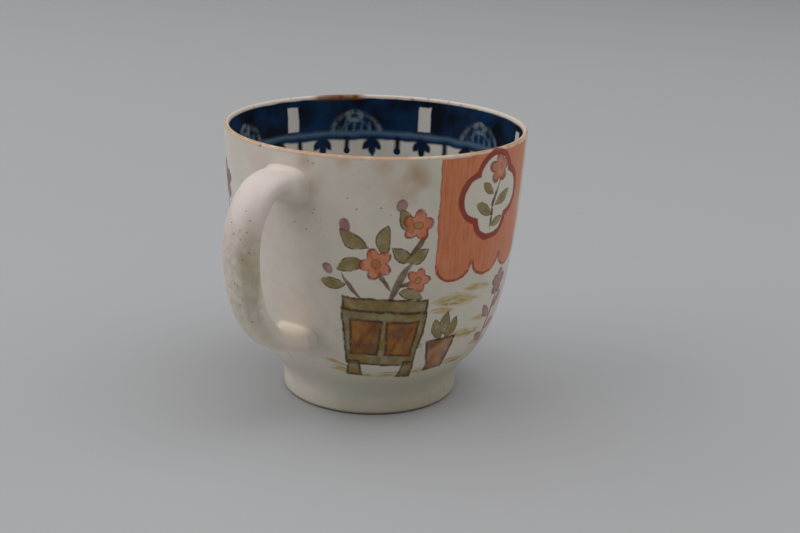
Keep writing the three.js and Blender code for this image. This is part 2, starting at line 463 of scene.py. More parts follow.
# The sheet that is painted on: a wall rolled out into millimetres round from the handle and up
SHEET_RADIUS = 33.0
INSIDE_RADIUS = 32.0
WALL_TREMOR = 1.1  # millimetres in which the hand strays
BORDER_TREMOR = 0.9
THIN_STREAK = 0.76  # share of a colour in its thinnest streaks
BOX_UNIT = 4.0  # millimetres in which the field of a box grows by 1
MIX_SOCKETS = (0, 6, 7)  # share, lower colour and upper colour of a mix node


class Brush:
    """Lays colours over one another in a material. A number or a tuple can stand for a socket."""

    def __init__(self, name, ground):
        self.material = bpy.data.materials.new(name)
        self.material.use_nodes = True
        self.tree = self.material.node_tree
        self.colour = ground
        place = self.tree.nodes.new("ShaderNodeTexCoord").outputs["Object"]
        self.place = self.vector("MULTIPLY", place, (1 / MM, 1 / MM, 1 / MM))
        self.x, self.y, self.height = self.split(self.place)
        front = self.math("MULTIPLY", self.y, -1)
        left = self.math("MULTIPLY", self.x, -1)
        self.turn = self.math("DEGREES", self.math("ARCTAN2", front, left))
        self.radius = self.vector("LENGTH", self.join(self.x, self.y))
        self.ripple = self.noise(self.place, 0.3, 3)

    # Nodes
    def feed(self, socket, value):
        if isinstance(value, bpy.types.NodeSocket):
            self.tree.links.new(value, socket)
        else:
            socket.default_value = value

    def node(self, kind, **inputs):
        node = self.tree.nodes.new(kind)
        for name, value in inputs.items():
            self.feed(node.inputs[name.replace("_", " ")], value)
        return node

    def calculate(self, kind, operation, values):
        node = self.tree.nodes.new(kind)
        node.operation = operation
        for socket, value in zip(node.inputs, values):
            self.feed(socket, value)
        return node.outputs

    def math(self, operation, *values):
        return self.calculate("ShaderNodeMath", operation, values)[0]

    def vector(self, operation, *values):
        outputs = self.calculate("ShaderNodeVectorMath", operation, values)
        return outputs["Value" if operation in {"DISTANCE", "LENGTH"} else "Vector"]

    def split(self, vector):
        return self.node("ShaderNodeSeparateXYZ", Vector=vector).outputs

    def join(self, x, y):
        return self.node("ShaderNodeCombineXYZ", X=x, Y=y).outputs[0]

    def noise(self, place, scale, detail=2.0):
        return self.node("ShaderNodeTexNoise", Vector=place, Scale=scale, Detail=detail).outputs["Fac"]

    def fade(self, value, start, end, low=0.0, high=1.0):
        """Runs from low to high while the value runs from start to end, and is held outside them."""
        ends = {"From_Min": start, "From_Max": end, "To_Min": low, "To_Max": high}
        return self.node("ShaderNodeMapRange", Value=value, **ends).outputs[0]

    def rise(self, start, end, low=0.0, high=1.0):
        """A fade from one height to another."""
        return self.fade(self.height, start, end, low, high)

    def within(self, value, low, high, soft):
        """1 between two limits, with soft edges."""
        reach = self.math("ABSOLUTE", self.math("SUBTRACT", value, (low + high) / 2))
        half = (high - low) / 2
        return self.fade(reach, half + soft / 2, half - soft / 2)

    def times(self, *values):
        product = values[0]
        for value in values[1:]:
            product = self.math("MULTIPLY", product, value)
        return product

    def least(self, *values):
        lowest = values[0]
        for value in values[1:]:
            lowest = self.math("MINIMUM", lowest, value)
        return lowest

    def mix(self, share, under, over):
        node = self.tree.nodes.new("ShaderNodeMix")
        node.data_type = "RGBA"
        for index, value in zip(MIX_SOCKETS, (share, under, over)):
            self.feed(node.inputs[index], value)
        return node.outputs[2]

    # Layers
    def lay(self, share, ink):
        self.colour = self.mix(share, self.colour, ink)

    def blot(self, point, size, strength, ink):
        """A soft patch round a point, with a ragged edge."""
        away = self.vector("DISTANCE", self.place, point)
        away = self.math("MULTIPLY_ADD", self.ripple, size, away)
        self.lay(self.fade(away, 1.6 * size, 0.5 * size, 0, strength), ink)

    def dots(self, points, size, ink):
        """Small round spots at some points."""
        away = self.least(*[self.vector("DISTANCE", self.place, point) for point in points])
        away = self.math("MULTIPLY_ADD", self.ripple, size, away)
        self.lay(self.fade(away, 1.5 * size, 0.7 * size, 0, 0.75), ink)

    def ash(self, scale, chosen, size, share):
        """Specks in some cells of a grid: the higher the limit for being chosen, the fewer."""
        cells = self.node("ShaderNodeTexVoronoi", Vector=self.place, Scale=scale)
        dot = self.fade(cells.outputs["Distance"], size, size * 0.4, 0, 0.8)
        kept = self.math("GREATER_THAN", cells.outputs["Color"], chosen)
        self.lay(self.times(dot, kept, share), SPECK)

    # Painting on the sheet
    def unroll(self, radius, tremor):
        """Rolls the wall out, and sets out how evenly the colours will lie on it."""
        flat = self.join(self.math("MULTIPLY", self.turn, math.radians(radius)), self.height)
        hand = self.node("ShaderNodeTexNoise", Vector=self.place, Scale=0.25, Detail=3.0).outputs["Color"]
        hand = self.vector("SUBTRACT", hand, (0.5, 0.5, 0.5))
        self.sheet = self.vector("MULTIPLY_ADD", hand, (tremor, tremor, 0), flat)
        grain = self.noise(self.vector("MULTIPLY", self.sheet, (0.35, 1.6, 0)), 1.0, 4)
        self.streaks = self.fade(self.noise(self.sheet, 0.32, 2), 0.35, 0.6, THIN_STREAK, 1)
        self.dry = self.fade(grain, 0.36, 0.58, 0.25, 1)
        self.breaks = self.fade(self.noise(self.sheet, 0.7, 3), 0.34, 0.52, 0.15, 1)
        self.clots = self.fade(self.noise(self.sheet, 0.28, 4), 0.38, 0.66)

    def about(self, at, size, angle):
        """The sheet seen from a point and turned by degrees, in units of half a length and half a width."""
        node = self.tree.nodes.new("ShaderNodeMapping")
        node.vector_type = "TEXTURE"
        self.feed(node.inputs["Vector"], self.sheet)
        node.inputs["Location"].default_value = (*at, 0)
        node.inputs["Rotation"].default_value = (0, 0, math.radians(angle))
        node.inputs["Scale"].default_value = (size[0] / 2, size[1] / 2, 1)
        return node.outputs[0]

    # Fields of shapes, which reach 1 at the outline
    def stroke(self, at, length, width, angle, bow=0.0):
        u, v, _ = self.split(self.about(at, (length, width), angle))
        far = self.math("MULTIPLY", u, u)
        bent = self.math("MULTIPLY_ADD", far, 2 * bow / width, v)
        return self.math("ADD", self.math("ABSOLUTE", bent), far)

    def strokes(self, rows):
        return self.least(*[self.stroke(*row) for row in rows])

    def oval(self, at, length, width, angle=0):
        return self.vector("LENGTH", self.about(at, (length, width), angle))

    def ovals(self, rows):
        return self.least(*[self.oval(*row) for row in rows])

    def box(self, at, length, width, angle=0, taper=0):
        """A box that narrows upwards. Its field grows alike on all sides."""
        u, v, _ = self.split(self.about(at, (length, width), angle))
        wide = self.math("MULTIPLY", self.math("ABSOLUTE", u), self.math("MULTIPLY_ADD", v, taper, 1))
        beside = self.math("MULTIPLY_ADD", wide, length / 2, -length / 2)
        above = self.math("MULTIPLY_ADD", self.math("ABSOLUTE", v), width / 2, -width / 2)
        return self.math("MULTIPLY_ADD", self.math("MAXIMUM", beside, above), 1 / BOX_UNIT, 1)

    def boxes(self, rows):
        return self.least(*[self.box(*row) for row in rows])

    def blossom(self, at, size, angle, petals=5):
        u, v, _ = self.split(self.about(at, (size, size), angle))
        bearing = self.math("MULTIPLY", self.math("ARCTAN2", v, u), petals / 2)
        lobe = self.math("ABSOLUTE", self.math("COSINE", bearing))
        reach = self.math("MULTIPLY_ADD", lobe, 0.38, 0.62)
        return self.math("DIVIDE", self.vector("LENGTH", self.join(u, v)), reach)

    # Ways to fill them
    def wash(self, field, ink, pooled, soft=0.12, strength=0.92):
        """Thin colour that has gathered towards the outline and in clots."""
        body = self.times(self.fade(field, 1 + soft, 1 - soft, 0, strength), self.streaks)
        rim = self.fade(field, 0.45, 1.0)
        gathered = self.math("MAXIMUM", rim, self.math("MULTIPLY", self.clots, 0.7))
        self.lay(body, self.mix(gathered, ink, pooled))

    def glaze_over(self, field, ink, clotted):
        """Thick colour in two inks, with a dark line round it."""
        thick = self.mix(self.fade(field, 0.75, 1.0, 0, 0.6), self.mix(self.clots, ink, clotted), BROWN)
        self.lay(self.times(self.fade(field, 1.05, 0.98, 0, 0.97), self.streaks), thick)
        self.outline(field, OUTLINE, 0.07)

    def outline(self, field, ink, width, strength=0.9):
        line = self.within(field, 1 - width, 1 + width, width)
        self.lay(self.times(line, self.breaks, strength), ink)

    def dab(self, field, ink, soft=0.25, strength=0.9):
        self.lay(self.times(self.fade(field, 1 + soft, 1 - soft, 0, strength), self.breaks), ink)


# Stains of the wall: a place on the sheet, a size and a strength
POOLS = [
    (2.0, 49.5, 5.2, 0.3), (6.5, 51.5, 3.0, 0.25), (6.6, 21.0, 2.6, 0.6), (8.5, 18.5, 3.0, 0.4),
    (-6, 48, 2.6, 0.4), (-6, 19, 2.6, 0.4),
]
TAN_BLOTS = [
    (28, 58, 3.4, 0.7), (25, 54, 3.6, 0.35), (21, 60.6, 2.6, 0.4), (13, 61, 2.4, 0.4), (5, 60.5, 2.4, 0.5),
    (7.5, 56, 3.0, 0.25), (22, 57, 8.0, 0.16), (52, 14, 7.0, 0.16), (5.9, 54.5, 2.4, 0.28),
]
PINK_BLOTS = [(3, 57.5, 4.5, 0.7), (10, 60.5, 3, 0.5), (-8, 59, 5, 0.8), (-17, 58, 5, 0.6)]

# Specks of the wall, as places on the sheet
WALL_SPOTS = [
    (0.3, 51.8), (4.2, 52), (6.9, 50.1), (6.5, 49.3), (1.9, 46.7), (2.4, 46.9), (5, 45.6), (5.6, 60.2),
    (6.8, 59.9), (13.9, 53.2), (20.7, 51.4), (22.7, 50), (15.8, 51), (33, 50.5), (37.3, 24.6), (42, 14.1),
    (39, 15.2), (2.7, 16.6), (3.3, 16.4),
]
WALL_SPOT_SIZE = 0.26
ASH_CLUSTER = (4.0, 48.5)

# Stains of the foot and the handle: a place on the cup, a size, a strength and a colour
FOOT_BLUSH = ((-16.6, -11.4, 2.5), 5.0, 0.4, PINK_GLAZE)
FOOT_MARK = ((0.7, -20.1, 2.7), 0.55, 0.7, OLIVE)
HANDLE_STAINS = [
    ((-36.5, -2.5, 57.0), 1.8, 0.35, TAN_STAIN),
    ((-33.0, -5.8, 54.5), 2.4, 0.28, TAN_STAIN),
]
HANDLE_SPOTS = [
    (-47.5, -1.4, 52.1), (-47.9, -2.7, 50.4), (-48.7, -2.6, 48.2), (-49.4, -1.6, 46.7),
    (-49.6, -2.3, 42.7), (-49.5, -0.2, 37.3), (-48.9, -3.3, 44.2), (-49.4, 0.2, 47.6),
    (-48.7, 1.2, 49.6), (-49.4, -0.8, 37.0), (-48.3, -0.5, 32.6), (-46.4, -2.0, 28.8),
]
HANDLE_SPOT_SIZE = 0.3
SLIP_FILM = 0.6  # how much of the wall's glaze has run over the slip

# The lip's dressing: heights, and degrees round from the handle
CREST_FOOT = CUP_HEIGHT - 0.9
CREST_TOP = CUP_HEIGHT - 0.6
PATCH_FOOT = CUP_HEIGHT - 1.4
PATCH_START = -140
PATCH_END = -119
LEAST_WORN = 30

# The glaze's surface
SPECULAR = 0.5
INSIDE_SPECULAR = 0.2
WHOLE_ROUGHNESS = 0.26
WORN_ROUGHNESS = 0.40
PEEL_SHARE = 0.12
RELIEF_STRENGTH = 0.5
RELIEF_DEPTH = 0.12


def on_wall(around, height):
    """The point of the outer wall at a place on the sheet."""
    radius = root(height).x
    angle = around / SHEET_RADIUS
    return Vector((-radius * math.cos(angle), -radius * math.sin(angle), height))


def lay_clouds(brush):
    """The unevenness of an old glaze: pink and green clouds, and strewn ash."""
    clouds = brush.noise(brush.place, 0.045, 3)
    brush.lay(brush.fade(clouds, 0.42, 0.68, 0, 0.55), PINK_GLAZE)
    drift = brush.noise(brush.vector("ADD", brush.place, (40, 10, 70)), 0.06, 3)
    brush.lay(brush.fade(drift, 0.50, 0.75, 0, 0.55), GREEN_GLAZE)
    mottle = brush.noise(brush.place, 0.35, 5)
    brush.lay(brush.fade(mottle, 0.45, 0.65, 0, 0.22), GREEN_GLAZE)
    brush.ash(0.22, 0.82, 0.05, 0.9)
    brush.ash(0.55, 0.80, 0.06, 0.7)


def lay_soil(brush, share):
    """The green and olive film about the foot, thicker towards the front."""
    brush.lay(brush.times(brush.fade(brush.turn, -20, 60, 0.2, 0.6), share), GREEN_GLAZE)
    brush.lay(brush.times(brush.fade(brush.turn, 0, 70, 0.0, 0.35), share), OLIVE_DIRT)


def lay_wall(brush):
    """The outer wall: a warm film over the front, soil over the foot, grey pools by the joints, stains."""
    front = brush.times(brush.fade(brush.turn, 2, 20), brush.fade(brush.turn, 130, 100))
    brush.lay(brush.times(front, 0.85), WARM_GLAZE)
    lay_clouds(brush)
    lay_soil(brush, brush.rise(15, 8))
    for places, ink in ((POOLS, POOLED_GLAZE), (PINK_BLOTS, PINK_GLAZE), (TAN_BLOTS, TAN_STAIN)):
        for around, height, size, strength in places:
            brush.blot(on_wall(around, height), size, strength, ink)
    brush.dots([on_wall(*spot) for spot in WALL_SPOTS], WALL_SPOT_SIZE, SPECK)
    near = brush.vector("DISTANCE", brush.place, on_wall(*ASH_CLUSTER))
    brush.ash(1.1, 0.84, 0.28, brush.fade(near, 6.5, 3.0))
    lay_rim(brush)


def lay_rim(brush):
    """The lip's dressing: an amber line along its crest, worn to tan, with one brown patch."""
    patches = brush.noise(brush.place, 0.3, 4)
    crest = brush.rise(CREST_FOOT, CREST_TOP)
    bearing = brush.math("RADIANS", brush.math("SUBTRACT", brush.turn, LEAST_WORN))
    around = brush.math("COSINE", bearing)
    brush.lay(brush.times(crest, brush.fade(around, 0.2, -0.6, 0, 0.5)), PALE_GLAZE)
    kept = brush.fade(around, -0.6, 0.2, 0.6, 1)
    brush.lay(brush.times(crest, kept, brush.fade(patches, 0.3, 0.6, 0.45, 0.85)), RIM_TAN)
    line = brush.within(brush.radius, RIM_RADIUS - 0.5, RIM_RADIUS - 0.1, 0.3)
    facing = brush.fade(around, -0.35, 0.35)
    worn = brush.fade(patches, 0.36, 0.52, 0.35, 1)
    brush.lay(brush.times(crest, line, facing, worn), AMBER)
    brown = brush.fade(brush.noise(brush.place, 0.55, 3), 0.63, 0.74, 0, 0.8)
    brush.lay(brush.times(crest, brown), RIM_BROWN)
    beside = brush.within(brush.turn, PATCH_START, PATCH_END, 5)
    patch = brush.times(beside, brush.rise(PATCH_FOOT, CREST_FOOT))
    burnt = brush.mix(patches, RIM_BROWN, BROWN)
    brush.lay(brush.times(patch, brush.fade(patches, 0.3, 0.6, 0.6, 1)), burnt)


def finished(brush, specular=SPECULAR):
    """Old glaze: glossy, a little worn, over the rings of the wheel and a fine orange peel."""
    shader = brush.tree.nodes["Principled BSDF"]
    shader.inputs["Specular IOR Level"].default_value = specular
    brush.feed(shader.inputs["Base Color"], brush.colour)
    wear = brush.noise(brush.place, 0.12, 4)
    roughness = brush.fade(wear, 0.3, 0.7, WHOLE_ROUGHNESS, WORN_ROUGHNESS)
    brush.feed(shader.inputs["Roughness"], roughness)
    rings = brush.noise(brush.vector("MULTIPLY", brush.place, (0.03, 0.03, 0.35)), 1.0, 2)
    peel = brush.noise(brush.place, 0.9, 2)
    relief = brush.math("MULTIPLY_ADD", peel, PEEL_SHARE, rings)
    bump = brush.node("ShaderNodeBump", Strength=RELIEF_STRENGTH, Distance=RELIEF_DEPTH * MM, Height=relief)
    brush.feed(shader.inputs["Normal"], bump.outputs[0])
    return brush.material


# Blue border under the glaze inside the lip
BAND_FOOT = 52.7
BAND_TOP = 61.3

# Its rows: degrees of the first motif and from one to the next, and the height of their middle
FANS = (-137.4, 60, BAND_FOOT)
CELLS = (-108, 60, (BAND_FOOT + BAND_TOP) / 2)
PENDANTS = (-167.2, 22.5, 49.5)
DARTS = (-155.95, 22.5, 49.7)

# Its shapes: a place from the middle of the motif, a length, a width and for strokes an angle
FAN = ((0, 0), 12.8, 10.8)
FAN_COMB = 3.2  # radians of the teeth's wave in a millimetre
FAN_CROWN = ((0.4, 4.2), 4.6, 3.0)
CELL = ((0, -0.3), 3.0, 6.0)
PENDANT_LEAVES = [((0, -0.3), 4.8, 1.9, 90), ((1.15, 0.4), 3.4, 1.8, -50), ((-1.15, 0.4), 3.4, 1.8, 230)]
PENDANT_HEAD = ((0, 1.3), 3.0, 1.6)
DART_SHAFT = ((0, 0.3), 1.1, 3.6)
DART_BEAD = ((0, -1.4), 1.5, 1.6)


def lay_border(brush):
    """A dark band with white cells and fans reserved in it, a ruled foot, and pendants and darts below."""
    brush.unroll(INSIDE_RADIUS, BORDER_TREMOR)
    around, height, _ = brush.split(brush.sheet)
    cloudy = brush.fade(brush.noise(brush.place, 0.16, 5), 0.40, 0.64)
    cobalt = brush.mix(cloudy, DEEP_COBALT, COBALT)

    def motif(first, pitch, middle):
        """The sheet about the nearest motif of a row, as a place of its own."""
        scale = math.radians(INSIDE_RADIUS)
        offset = brush.math("SUBTRACT", around, first * scale)
        beside = brush.math("WRAP", offset, pitch * scale / 2, -pitch * scale / 2)
        brush.sheet = brush.join(beside, brush.math("SUBTRACT", height, middle))

    brush.lay(brush.within(height, BAND_FOOT, BAND_TOP, 0.35), cobalt)
    motif(*FANS)
    inside = brush.within(height, BAND_FOOT + 0.2, BAND_TOP - 0.6, 0.4)
    fan = brush.oval(*FAN)
    beside, above, _ = brush.split(brush.sheet)
    low = brush.fade(above, 4.5, 1.0, 0.35, 1)
    brush.lay(brush.times(brush.within(fan, 0.84, 1.0, 0.16), inside, brush.breaks, low, 0.8), FAN_WHITE)
    brush.lay(brush.times(brush.within(fan, 0.50, 0.60, 0.12), inside, brush.breaks, 0.6), SLATE)
    wave = brush.math("SINE", brush.math("MULTIPLY", beside, FAN_COMB))
    comb = brush.times(brush.fade(wave, -0.1, 0.7), brush.fade(fan, 0.76, 0.66), inside)
    brush.lay(brush.times(comb, brush.dry, 0.75), SLATE)
    crown = brush.within(brush.oval(*FAN_CROWN), 0.40, 1.0, 0.35)
    brush.lay(brush.times(crown, brush.breaks, 0.75), FAN_WHITE)
    motif(*CELLS)
    brush.lay(brush.fade(brush.box(*CELL), 1.05, 0.95), COOL_GLAZE)

    brush.lay(brush.within(height, BAND_FOOT - 1.7, BAND_FOOT + 0.1, 0.6), COBALT)
    rule = brush.within(height, BAND_FOOT - 0.7, BAND_FOOT + 0.5, 0.8)
    brush.lay(brush.times(rule, brush.streaks, 0.8), SLATE)

    motif(*PENDANTS)
    pendant = brush.least(brush.strokes(PENDANT_LEAVES), brush.oval(*PENDANT_HEAD))
    brush.lay(brush.fade(pendant, 1.45, 0.75), cobalt)
    motif(*DARTS)
    dart = brush.least(brush.box(*DART_SHAFT), brush.oval(*DART_BEAD))
    brush.lay(brush.fade(dart, 1.12, 0.92), cobalt)


# Enamels over the glaze. Strokes have a place on the sheet, a length, a width, an angle and a bow.
# Boxes and ovals have a place, a length, a width and an angle, and a box can have a taper.
# Blossoms have a place, a size and an angle.
TUB = ((22.2, 21.6), 18.5, 13.4, -3, -0.07)
TUB_PANELS = [((17.9, 22.0), 6.9, 8.4, -3, -0.05), ((26.4, 21.5), 6.9, 8.4, -3, -0.05)]
TUB_TRIM = [
    ((22.4, 29.6), 19.0, 3.0, -3),
    ((15.0, 13.9), 3.2, 4.2, -3, 0.2),
    ((29.2, 13.1), 3.2, 4.2, -3, 0.2),
]
TUB_SHADES = [
    ((16.6, 21.0), 6.5, 1.0, 62, 0.4), ((19.2, 24.0), 5.0, 0.9, 50, 0.3),
    ((25.4, 20.6), 6.0, 1.0, 58, 0.4), ((28.2, 22.6), 5.2, 0.9, 64, 0.3),
]
BRANCHES = [
    ((25.0, 35.0), 12.0, 1.7, 64, 0.8), ((29.0, 43.0), 9.0, 1.3, 56, -0.8),
    ((20.4, 37.5), 11.5, 1.2, 118, 0.7), ((27.0, 34.6), 6.0, 1.0, 18, -0.6),
    ((14.6, 34.0), 7.5, 0.9, 128, 0.4),
]
LEAVES = [
    ((15.0, 44.2), 6.8, 3.2, 146, 0.5), ((14.6, 39.0), 6.2, 2.9, 192, -0.5),
    ((21.4, 44.4), 6.6, 3.0, 84, 0.5), ((25.6, 41.0), 6.0, 2.8, 150, 0.4),
    ((29.0, 40.6), 5.6, 2.8, 26, -0.4), ((28.0, 32.4), 5.6, 2.6, -16, 0.4),
    ((26.0, 48.4), 6.0, 2.8, 118, 0.4), ((10.8, 34.4), 5.4, 2.5, 176, 0.3),
]
FLOWERS = [((28.6, 47.6), 6.6, 10), ((20.0, 39.2), 6.8, 40), ((29.4, 35.4), 5.4, 70)]
FLOWER_HEART = 0.3  # share of the flower's size
BUDS = [((13.4, 47.4), 3.0, 2.2, 120), ((25.0, 52.0), 2.8, 2.0, 70), ((9.6, 37.8), 2.6, 1.9, 130)]
LEFT_GROUND = [
    ((14.5, 12.6), 13.0, 1.3, -8, 0.3), ((26.5, 11.8), 15.0, 1.2, 3, -0.3),
    ((10.5, 15.0), 8.0, 0.9, -14, 0.2), ((33.0, 19.6), 9.0, 1.0, 4, 0.2),
]
LEFT_TICKS = [
    ((17.0, 11.9), 5.0, 0.4, -10, 0.1), ((24.5, 12.6), 6.5, 0.4, 2, 0.1),
    ((11.6, 13.6), 4.5, 0.5, -16, 0.1),
]
RIGHT_GROUND = [
    ((33.0, 12.4), 10.0, 1.4, -2, 0.2), ((44.5, 13.4), 11.0, 1.5, -4, 0.2),
    ((45.0, 20.4), 13.0, 1.9, -6, -0.3), ((50.0, 23.2), 9.0, 1.2, -6, 0.2),
    ((53.0, 16.4), 9.0, 1.4, -4, 0.2), ((40.0, 29.6), 13.0, 2.6, -5, 0.2),
    ((46.0, 31.6), 10.0, 1.5, -6, 0.2), ((36.0, 27.8), 7.0, 1.4, -4, 0.2),
]
RIGHT_TICKS = [
    ((47.0, 20.0), 5.5, 0.5, -6, 0.1), ((38.0, 28.8), 6.0, 0.5, -5, 0.1),
    ((46.0, 13.0), 5.0, 0.5, -4, 0.1),
]
POT = ((37.6, 16.4), 6.4, 8.0, 3, -0.2)
POT_LEAVES = [
    ((35.6, 22.8), 5.6, 2.6, 112, 0.4), ((39.8, 22.8), 5.6, 2.6, 64, -0.4),
    ((37.6, 24.4), 5.8, 2.5, 88, 0.3),
]
PUCE_SPRAY = [
    ((54.5, 21.5), 17.0, 1.1, 84, 0.9), ((52.0, 24.0), 5.6, 2.3, 140, 0.4),
    ((57.2, 25.6), 5.6, 2.3, 36, -0.4), ((52.4, 17.6), 5.2, 2.2, 160, 0.3),
    ((57.2, 20.0), 5.0, 2.2, 20, 0.3),
]
PUCE_FLOWER = ((55.4, 30.4), 6.2, 15)

# A coral cloth hung from the lip, with a window of four lobes
CLOTH_LEFT = 33.0
CLOTH_RIGHT = 62.0
CLOTH_TOP = CUP_HEIGHT - 0.7
CLOTH_FOOT = 38.0
CLOTH_SCALLOPS = 3
SCALLOP_DEPTH = 0.8  # share of a scallop's width
WINDOW = (47.5, 52.0)
WINDOW_LOBE = 9.4
WINDOW_REACH = 4.0  # from its middle to the middle of a lobe
WINDOW_SPRIG = ((47.7, 51.7), 1.35)

# Sprigs have a place on the sheet and a scale, and their strokes and blossom are set about that place
SPRIG_STEM = (0, -1, 9, 0.7, 78, 0.7)
SPRIG_LEAVES = [
    (-2.2, -1.8, 4.2, 1.7, 150), (2.4, -0.6, 4.2, 1.7, 28),
    (-1.6, 1.4, 3.4, 1.4, 140), (1.2, -4.2, 3.6, 1.4, 10),
]
SPRIG_FLOWER = (0.8, 4.4, 4.6, 20)
BACK_SPRIGS = [((88, 34), 1.9), ((-62, 36), 1.9), ((-90, 26), 1.5)]
PUCE_SPRIG = ((-26.5, 42.5), 1.8)


def wall_brush(name):
    """A brush over the finished glaze of the outer wall."""
    brush = Brush(name, GLAZE)
    lay_wall(brush)
    brush.unroll(SHEET_RADIUS, WALL_TREMOR)
    return brush


def paint_leaves(brush, leaves, width=0.11, strength=0.9):
    brush.wash(leaves, LEAF_GREEN, OLIVE)
    brush.outline(leaves, OUTLINE, width, strength)


def paint_ground(brush, ground, ticks):
    """Dry straw strokes with thin olive ones on them."""
    brush.lay(brush.times(brush.fade(brush.strokes(ground), 1.5, 0.6, 0, 0.95), brush.dry), STRAW)
    brush.dab(brush.strokes(ticks), OLIVE, 0.5, 0.7)


def paint_tub(brush):
    """A garden tub of framed panels on two feet."""
    tub = brush.box(*TUB)
    trim = brush.boxes(TUB_TRIM)
    panels = brush.boxes(TUB_PANELS)
    brush.glaze_over(tub, OLIVE, GREY_GREEN)
    brush.glaze_over(panels, OCHRE, BROWN)
    brush.glaze_over(trim, OLIVE, GREY_GREEN)
    brush.dab(brush.strokes(TUB_SHADES), BROWN, 0.5, 0.8)


def paint_branch(brush):
    """The flowering branch in the tub, with leaves and buds."""
    brush.wash(brush.strokes(BRANCHES), BROWN, OUTLINE, 0.2)
    paint_leaves(brush, brush.strokes(LEAVES))
    petals = brush.least(*[brush.blossom(*flower) for flower in FLOWERS])
    brush.wash(petals, CORAL, DEEP_CORAL)
    brush.outline(petals, IRON_RED, 0.09)
    hearts = brush.ovals([(at, size * FLOWER_HEART, size * FLOWER_HEART) for at, size, _ in FLOWERS])
    brush.wash(hearts, STRAW, IRON_RED)
    brush.wash(brush.ovals(BUDS), PUCE, DEEP_PUCE)


def paint_cloth(brush):
    """The cloth with its threads, a scalloped foot and red lines along its foot and left side."""
    width = CLOTH_RIGHT - CLOTH_LEFT
    middle = ((CLOTH_LEFT + CLOTH_RIGHT) / 2, (CLOTH_TOP + CLOTH_FOOT) / 2)
    drop = brush.box(middle, width, CLOTH_TOP - CLOTH_FOOT)
    pitch = width / CLOTH_SCALLOPS
    centres = [(CLOTH_LEFT + pitch * (i + 0.5), CLOTH_FOOT) for i in range(CLOTH_SCALLOPS)]
    scallops = brush.ovals([(centre, pitch, SCALLOP_DEPTH * pitch) for centre in centres])
    cloth = brush.least(drop, scallops)
    threads = brush.noise(brush.vector("MULTIPLY", brush.sheet, (1.5, 0.12, 0)), 1.0, 4)
    weave = brush.mix(brush.fade(threads, 0.4, 0.65, 0.1, 0.8), CORAL, DEEP_CORAL)
    even = brush.fade(brush.streaks, THIN_STREAK, 1, 0.93, 1)
    brush.lay(brush.times(brush.fade(cloth, 1.04, 0.98, 0, 0.97), even), weave)
    below = brush.rise(CLOTH_FOOT + 0.6, CLOTH_FOOT - 0.2)
    brush.lay(brush.times(brush.within(scallops, 0.86, 1.0, 0.06), below, brush.breaks, 0.9), IRON_RED)
    side = brush.within(brush.split(brush.sheet)[0], CLOTH_LEFT - 0.15, CLOTH_LEFT + 0.2, 0.25)
    brush.lay(brush.times(side, brush.fade(drop, 1.06, 1.0), brush.breaks, 0.6), IRON_RED)


def paint_window(brush):
    """A bare window in the cloth, with a red frame and a sprig in it."""
    around, height = WINDOW
    beside = [(around + WINDOW_REACH, height), (around - WINDOW_REACH, height)]
    upright = [(around, height + WINDOW_REACH), (around, height - WINDOW_REACH)]
    window = brush.ovals([(lobe, WINDOW_LOBE, WINDOW_LOBE) for lobe in beside + upright])
    covered = brush.fade(brush.streaks, 0.45, 1, 0.85, 1)
    brush.lay(brush.times(brush.fade(window, 1.30, 1.24), covered), IRON_RED)
    brush.lay(brush.fade(window, 0.99, 0.94), WARM_GLAZE)
    paint_sprig(brush, *WINDOW_SPRIG)


def paint_sprig(brush, at, scale, petal=CORAL, line=IRON_RED):
    """A small flower on a bent stem with four leaves."""
    def moved(x, y):
        return at[0] + x * scale, at[1] + y * scale

    def stroke(x, y, length, width, angle, bow=0.0):
        return brush.stroke(moved(x, y), length * scale, width * scale, angle, bow * scale)

    brush.dab(stroke(*SPRIG_STEM), OUTLINE)
    paint_leaves(brush, brush.least(*[stroke(*leaf) for leaf in SPRIG_LEAVES]), 0.12, 0.7)
    x, y, size, angle = SPRIG_FLOWER
    flower = brush.blossom(moved(x, y), size * scale, angle)
    brush.wash(flower, petal, line, 0.12, 0.95)
    brush.outline(flower, line, 0.12)


def paint_garden():
    brush = wall_brush("bowl_garden_enamel")
    paint_ground(brush, LEFT_GROUND, LEFT_TICKS)
    paint_branch(brush)
    paint_tub(brush)
    return finished(brush)


def paint_hangings():
    brush = wall_brush("bowl_hangings_enamel")
    paint_ground(brush, RIGHT_GROUND, RIGHT_TICKS)
    paint_cloth(brush)
    paint_window(brush)
    paint_leaves(brush, brush.strokes(POT_LEAVES))
    brush.glaze_over(brush.box(*POT), OCHRE, BROWN)
    brush.wash(brush.strokes(PUCE_SPRAY), PUCE, DEEP_PUCE)
    flower = brush.blossom(*PUCE_FLOWER)
    brush.wash(flower, PUCE, DEEP_PUCE)
    brush.outline(flower, DEEP_PUCE, 0.1)
    return finished(brush)


def paint_back():
    brush = wall_brush("bowl_back_enamel")
    for at, scale in BACK_SPRIGS:
        paint_sprig(brush, at, scale)
    paint_sprig(brush, *PUCE_SPRIG, DEEP_PUCE, BROWN)
    return finished(brush)


def glaze_inside():
    brush = Brush("bowl_inside_glaze", COOL_GLAZE)
    lay_clouds(brush)
    lay_border(brush)
    lay_rim(brush)
    return finished(brush, INSIDE_SPECULAR)


def glaze_foot():
    """The foot ring's glaze, soiled like the wall over it, with a blush, a mark and a toe darkened by dirt
    and by painted contact shade.
    """
    brush = Brush("foot_glaze", GLAZE)
    lay_clouds(brush)
    lay_soil(brush, 1)
    brush.blot(*FOOT_BLUSH)
    brush.lay(brush.rise(2.4, 0.4, 0, 0.2), TAN_STAIN)
    brush.blot(*FOOT_MARK)
    # Dirt and painted shade: the toe is darkened where it meets the table
    brush.lay(brush.rise(0.85, 0.35, 0, 0.9), TOE_DIRT_AND_SHADE)
    return finished(brush)


